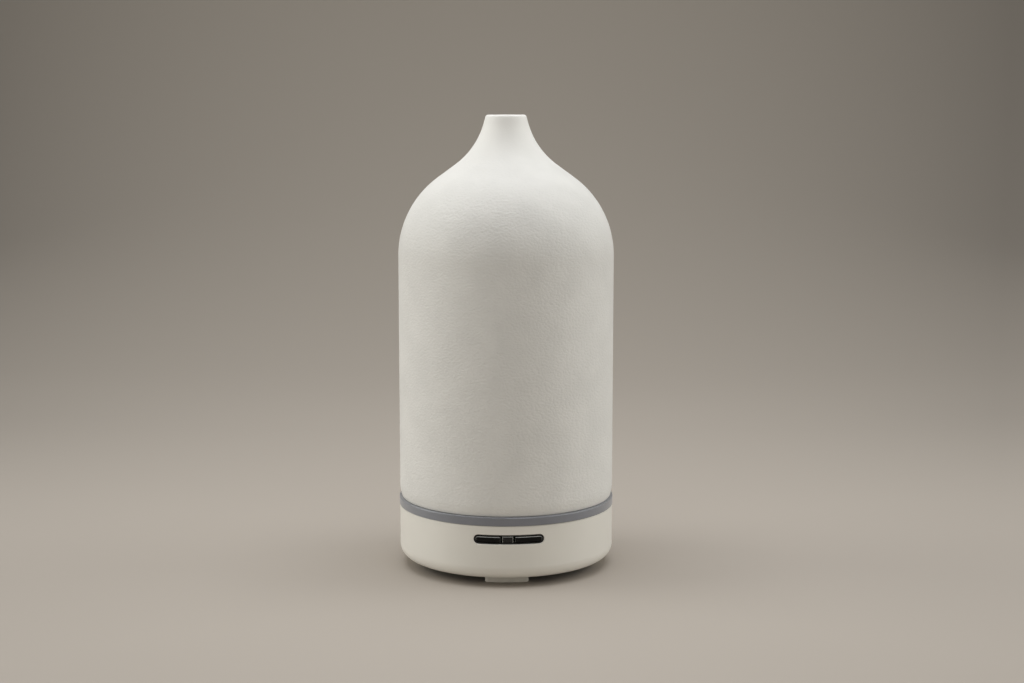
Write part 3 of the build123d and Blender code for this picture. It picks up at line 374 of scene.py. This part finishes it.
def circuit_board():
    """Green solder mask with copper tracks showing lighter through it, and tinned pads."""
    mask = (0.0116, 0.0976, 0.0343)
    made = material("circuit_board", mask, 0.3, coat_weight=0.4, coat_roughness=0.15)
    tracks = add(made, "ShaderNodeTexBrick", scale=1 / (9 * MM), mortar_size=0.045, mortar_smooth=0.1)
    tracks.offset = 0.37
    tracks.squash = 0.7
    link(made, place(made), tracks.inputs["Vector"])
    for socket, factor in (("Color1", 0.8), ("Color2", 0.95), ("Mortar", 1.9)):
        tracks.inputs[socket].default_value = (*shade(mask, factor), 1)
    link(made, tracks.outputs["Color"], shader_of(made).inputs["Base Color"])
    uneven_gloss(made, grain(made, 0.5 * MM, 2), 0.25, 0.38)
    relief(made, tracks.outputs["Fac"], 0.03 * MM, 0.6)
    return made


def chip_black():
    """Moulded epoxy, matt and slightly sparkling."""
    black = (0.0091, 0.0091, 0.0097)
    made = material("chip_black", black, 0.55)
    mottle(made, grain(made, 0.2 * MM, 3), shade(black, 0.7), shade(black, 2.2))
    uneven_gloss(made, grain(made, 0.4 * MM, 2), 0.45, 0.65)
    relief(made, grain(made, 0.12 * MM, 2), 0.01 * MM, 0.6)
    return made


def metal(name, colour, roughness, stretch):
    """Bare metal whose finish runs in one direction, with handling marks."""
    made = material(name, colour, roughness, metallic=1, anisotropic=0.3)
    mottle(made, grain(made, 2 * MM, 3), shade(colour, 0.85), shade(colour, 1.08))
    lines = grain(made, 0.3 * MM, 3, stretch)
    uneven_gloss(made, lines, roughness - 0.08, roughness + 0.12)
    relief(made, lines, 0.01 * MM, 0.4)
    return made


def disc_silver():
    """Silvered piezo ceramic, dull and slightly tarnished towards warm."""
    silver = (0.6105, 0.6105, 0.5776)
    made = material("disc_silver", silver, 0.35, metallic=1)
    mottle(made, grain(made, 1.5 * MM, 5), (0.5, 0.47, 0.4), silver)
    uneven_gloss(made, grain(made, 0.3 * MM, 3), 0.28, 0.5)
    relief(made, grain(made, 0.15 * MM, 2), 0.01 * MM, 0.5)
    return made


def seal_silicone():
    """Milky silicone."""
    milk = (0.6795, 0.6795, 0.6584)
    made = material("seal_silicone", milk, 0.45, subsurface=0.3, subsurface_scale=1 * MM)
    mottle(made, grain(made, 2 * MM, 2), shade(milk, 0.94), shade(milk, 1.03))
    uneven_gloss(made, grain(made, 0.6 * MM, 2), 0.4, 0.55)
    relief(made, grain(made, 0.3 * MM, 1), 0.01 * MM, 0.4)
    return made


def core_ferrite():
    """Sintered ferrite: dark grey, grainy."""
    grey = (0.0343, 0.0319, 0.0319)
    made = material("core_ferrite", grey, 0.5)
    mottle(made, grain(made, 0.25 * MM, 4), shade(grey, 0.7), shade(grey, 1.5))
    uneven_gloss(made, grain(made, 0.3 * MM, 2), 0.4, 0.6)
    relief(made, grain(made, 0.15 * MM, 3), 0.02 * MM, 0.6)
    return made


def capacitor_can():
    """Heat-shrunk sleeve with the pale stripe that marks one lead."""
    blue = (0.0452, 0.0545, 0.107)
    made = material("capacitor_can", blue, 0.3, coat_weight=0.3, coat_roughness=0.2)
    stripes = add(made, "ShaderNodeTexWave", scale=1 / (30 * MM), distortion=0.5)
    link(made, place(made), stripes.inputs["Vector"])
    mottle(made, stripes.outputs["Fac"], blue, shade(blue, 6), 0.9, 0.94)
    uneven_gloss(made, grain(made, 1 * MM, 2), 0.25, 0.4)
    relief(made, grain(made, 1.5 * MM, 1), 0.02 * MM, 0.3)
    return made


def led_package():
    """White package under yellow phosphor resin."""
    cream = (0.9047, 0.8714, 0.6724)
    made = material("led_package", cream, 0.25, coat_weight=0.6, coat_roughness=0.1)
    mottle(made, grain(made, 0.6 * MM, 2), (0.9, 0.78, 0.32), cream)
    uneven_gloss(made, grain(made, 0.4 * MM, 1), 0.2, 0.32)
    return made


def connector_white():
    """Unfilled nylon, milky."""
    white = (0.807, 0.7913, 0.7157)
    made = material("connector_white", white, 0.4, subsurface=0.2, subsurface_scale=1 * MM)
    mottle(made, grain(made, 2 * MM, 2), shade(white, 0.94), shade(white, 1.02))
    uneven_gloss(made, grain(made, 0.8 * MM, 2), 0.35, 0.5)
    relief(made, grain(made, 0.2 * MM, 2), 0.01 * MM, 0.4)
    return made


def lead_insulation():
    """PVC insulation with a soft sheen and faint drawing lines."""
    red = (0.5149, 0.0252, 0.0176)
    made = material("lead_insulation", red, 0.38, specular=0.5)
    mottle(made, grain(made, 4 * MM, 2), shade(red, 0.88), shade(red, 1.06))
    uneven_gloss(made, grain(made, 1 * MM, 2), 0.32, 0.46)
    relief(made, grain(made, 0.4 * MM, 1), 0.01 * MM, 0.4)
    return made


def stator_steel():
    """Stacked laminations with copper between them."""
    brown = (0.1878, 0.1384, 0.107)
    made = material("stator_steel", brown, 0.4, metallic=1)
    layers = add(made, "ShaderNodeTexWave", scale=1 / (6 * MM), bands_direction="Z")
    link(made, place(made), layers.inputs["Vector"])
    mottle(made, layers.outputs["Fac"], shade(brown, 0.6), (0.55, 0.28, 0.12), 0.3, 0.7)
    uneven_gloss(made, grain(made, 0.3 * MM, 2), 0.3, 0.5)
    relief(made, layers.outputs["Fac"], 0.05 * MM, 0.6)
    return made


SLOT_MATERIALS = {
    "bisque_ceramic": bisque_ceramic(),
    "cream_plastic": cream_plastic(),
    "frosted_acrylic": frosted_acrylic(),
    "tank_plastic": soft_plastic("tank_plastic", (0.7529, 0.7529, 0.7305)),
    "mist_cover_plastic": soft_plastic("mist_cover_plastic", (0.8388, 0.8388, 0.8228)),
    "foot_rubber": foot_rubber(),
    "gloss_black": gloss_black(),
    "smoked_lens": smoked_lens(),
    "black_plastic": black_plastic(),
    "circuit_board": circuit_board(),
    "chip_black": chip_black(),
    "screw_steel": metal("screw_steel", (0.305, 0.314, 0.3278), 0.3, (1, 1, 0.2)),
    "heat_sink_alloy": metal("heat_sink_alloy", (0.5149, 0.5271, 0.5457), 0.35, (1, 1, 0.05)),
    "contact_brass": metal("contact_brass", (0.552, 0.3515, 0.1022), 0.28, (1, 0.1, 1)),
    "disc_silver": disc_silver(),
    "seal_silicone": seal_silicone(),
    "core_ferrite": core_ferrite(),
    "capacitor_can": capacitor_can(),
    "led_package": led_package(),
    "connector_white": connector_white(),
    "lead_insulation": lead_insulation(),
    "stator_steel": stator_steel(),
}

for subpart in frame["record"]["subparts"]:
    node = frame["nodes"][subpart["node"]]
    lit_by_strips.objects.link(node)
    for used in node.material_slots:
        used.material = SLOT_MATERIALS[subpart["material_slot"]]


# ---------------------------------------------------------------- ceramic cover


class Pen:
    """Draws an outline in the (radius, height) half-plane as a row of points."""

    def __init__(self, start, heading):
        self.at = Vector(start)
        self.heading = heading
        self.points = [self.at.copy()]

    def line(self, length, step):
        count = max(1, ceil(length / step))
        ahead = Vector((cos(self.heading), sin(self.heading))) * (length / count)
        for _ in range(count):
            self.at = self.at + ahead
            self.points.append(self.at.copy())

    def arc(self, radius, turn, step):
        """Turns left for a positive turn, right for a negative one."""
        count = max(1, ceil(abs(turn) * radius / step))
        part = turn / count
        chord = 2 * radius * sin(abs(part) / 2)
        for _ in range(count):
            middle = self.heading + part / 2
            self.at = self.at + Vector((cos(middle), sin(middle))) * chord
            self.points.append(self.at.copy())
            self.heading += part


# the cover's outline, as in the CAD
WALL_THICKNESS = 3.2 * MM
CURL_RADIUS = 16.4 * MM
CURL_TURN = radians(17.8)
FOOT_ROUND = 0.35 * MM
SHOULDER_START = 131.4 * MM
SHOULDER_RADIUS = 40.4 * MM
SHOULDER_TURN = radians(54)
SLOPE_LENGTH = 9 * MM
NECK_RADIUS = 32 * MM
NECK_TURN = radians(39)
RIM_ROUND = 1.2 * MM
FOOT_INSET = 0.5 * MM
BORE_RADIUS = 4.6 * MM
BORE_ROUND = 0.8 * MM
BORE_NECK_TURN = radians(5)
BORE_NECK_RISE = 3 * MM
SEGMENTS = 400
OUTER_STEP = 1.25 * MM
INNER_STEP = 4 * MM
ROUND_STEP = 0.25 * MM


def cover_outline():
    """The cover's closed outline, the outside first, upwards, and how many points that outside has."""
    low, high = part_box("ceramic_cover")
    radius = high.x
    foot_turn = pi / 2 - CURL_TURN
    curl_rise = CURL_RADIUS * sin(CURL_TURN) + FOOT_ROUND * (1 - sin(CURL_TURN))
    curl_start = low.z + curl_rise
    curl_in = CURL_RADIUS * (1 - cos(CURL_TURN)) + FOOT_ROUND * cos(CURL_TURN)
    outside = Pen((radius - curl_in, low.z), 0)
    outside.arc(FOOT_ROUND, foot_turn, ROUND_STEP)
    outside.arc(CURL_RADIUS, CURL_TURN, OUTER_STEP)
    outside.line(SHOULDER_START - curl_start, OUTER_STEP)
    outside.arc(SHOULDER_RADIUS, SHOULDER_TURN, OUTER_STEP)
    outside.line(SLOPE_LENGTH, OUTER_STEP)
    outside.arc(NECK_RADIUS, -NECK_TURN, OUTER_STEP)
    lean = SHOULDER_TURN - NECK_TURN
    rise = high.z - RIM_ROUND * (1 - sin(lean)) - outside.at.y
    outside.line(rise / cos(lean), OUTER_STEP)
    outside.arc(RIM_ROUND, pi / 2 - lean, ROUND_STEP)
    outside.line(outside.at.x - BORE_RADIUS - BORE_ROUND, OUTER_STEP)
    outside.arc(BORE_ROUND, pi / 2, ROUND_STEP)

    inside = Pen((radius - WALL_THICKNESS, low.z + FOOT_INSET), pi / 2)
    inside.line(SHOULDER_START - low.z - FOOT_INSET, INNER_STEP)
    inside.arc(SHOULDER_RADIUS - WALL_THICKNESS, SHOULDER_TURN, INNER_STEP / 2)
    inside.line(SLOPE_LENGTH, INNER_STEP)
    inside.arc(NECK_RADIUS + WALL_THICKNESS, BORE_NECK_TURN - NECK_TURN, INNER_STEP / 2)
    bore_foot = Vector((BORE_RADIUS, inside.at.y + BORE_NECK_RISE))
    under = Vector((radius - WALL_THICKNESS + FOOT_INSET, low.z))
    return outside.points + [bore_foot] + inside.points[::-1] + [under], len(outside.points)


def revolved(name, outline):
    """A closed ring of quads: the outline turned round the axis in SEGMENTS steps."""
    vertices = []
    for p in outline:
        for k in range(SEGMENTS):
            turn = 2 * pi * k / SEGMENTS
            vertices.append((p.x * cos(turn), p.x * sin(turn), p.y))
    faces = []
    rows = len(outline)
    for row in range(rows):
        here, above = row * SEGMENTS, (row + 1) % rows * SEGMENTS
        for k in range(SEGMENTS):
            beside = (k + 1) % SEGMENTS
            faces.append((here + k, here + beside, above + beside, above + k))
    mesh = bpy.data.meshes.new(name)
    mesh.from_pydata(vertices, [], faces)
    mesh.shade_smooth()
    made = bpy.data.objects.new(name, mesh)
    bpy.context.scene.collection.objects.link(made)
    return made


def slip_texture(mesh, outside_count):
    """Raises the outside by the long waves of a hand-dipped slip, along its normals."""
    waves = ((4.5 * MM, 0.025 * MM), (2.6 * MM, 0.015 * MM))  # each one's size and height
    moved = []
    for vertex in mesh.vertices[: outside_count * SEGMENTS]:
        where = vertex.co
        height = sum(tall * noise.noise(where / size) for size, tall in waves)
        moved.append(where + vertex.normal * height)
    for vertex, where in zip(mesh.vertices, moved):
        vertex.co = where


outline, outside_count = cover_outline()
cover = revolved("cover_body", outline)
slip_texture(cover.data, outside_count)
cover.data.materials.append(SLOT_MATERIALS["bisque_ceramic"])
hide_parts("ceramic_cover")
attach(cover, "cover")
lit_by_strips.objects.link(cover)


# ---------------------------------------------------------------- floor and backdrop


def backdrop_paper():
    """Greige paper whose tone falls off towards the far sides and up the back."""
    brightest = (0.555, 0.5, 0.44)
    fan_depth = 0.73  # the fall-off fans out from a point this far in front
    floor_shade, back_shade, side_shade, top_shade = 0.13, 0.2, 0.26, 0.055
    made = material("backdrop_paper", brightest, 0.8, specular=0.2)
    where = axes(made, place(made))
    depth = where["Y"]
    away = combine(made, "ADD", depth, fan_depth)
    aside = combine(made, "DIVIDE", where["X"], away)
    sides = spread(made, combine(made, "MULTIPLY", aside, aside), 0.0, 0.085, 0.0, side_shade)
    near = spread(made, depth, 0.05, 0.35, 0.1, 0.65)
    far = spread(made, depth, 0.45, 0.85, 0.0, 0.45)
    sides = combine(made, "MULTIPLY", sides, combine(made, "ADD", near, far))
    behind = spread(made, depth, 0.0, 0.3, floor_shade, back_shade)
    above = spread(made, depth, 0.35, 0.9, 0.0, top_shade)
    fall = combine(made, "ADD", combine(made, "ADD", behind, sides), above)
    ramp = add(made, "ShaderNodeValToRGB")
    ramp.color_ramp.elements[0].color = (*brightest, 1)
    ramp.color_ramp.elements[1].color = (0, 0, 0, 1)
    link(made, fall, ramp.inputs["Fac"])
    link(made, ramp.outputs["Color"], shader_of(made).inputs["Base Color"])
    relief(made, grain(made, 0.6 * MM, 3), 0.02 * MM, 0.3)
    return made


def backdrop():
    """A paper sweep: floor in front, a wide curve, and a wall behind."""
    half_width, front, back, bend, top = 3.0, -3.0, 0.45, 1.1, 2.6
    sweep = [(front, 0.0), (back, 0.0)]
    steps = 24
    for k in range(1, steps + 1):
        turn = pi / 2 * k / steps
        sweep.append((back + bend * sin(turn), bend * (1 - cos(turn))))
    sweep.append((back + bend, top))
    vertices = []
    for y, z in sweep:
        vertices.append((-half_width, y, FLOOR_Z + z))
        vertices.append((half_width, y, FLOOR_Z + z))
    faces = [(2 * k, 2 * k + 1, 2 * k + 3, 2 * k + 2) for k in range(len(sweep) - 1)]
    mesh = bpy.data.meshes.new("backdrop")
    mesh.from_pydata(vertices, [], faces)
    mesh.shade_smooth()
    made = bpy.data.objects.new("backdrop", mesh)
    bpy.context.scene.collection.objects.link(made)
    mesh.materials.append(backdrop_paper())


backdrop()
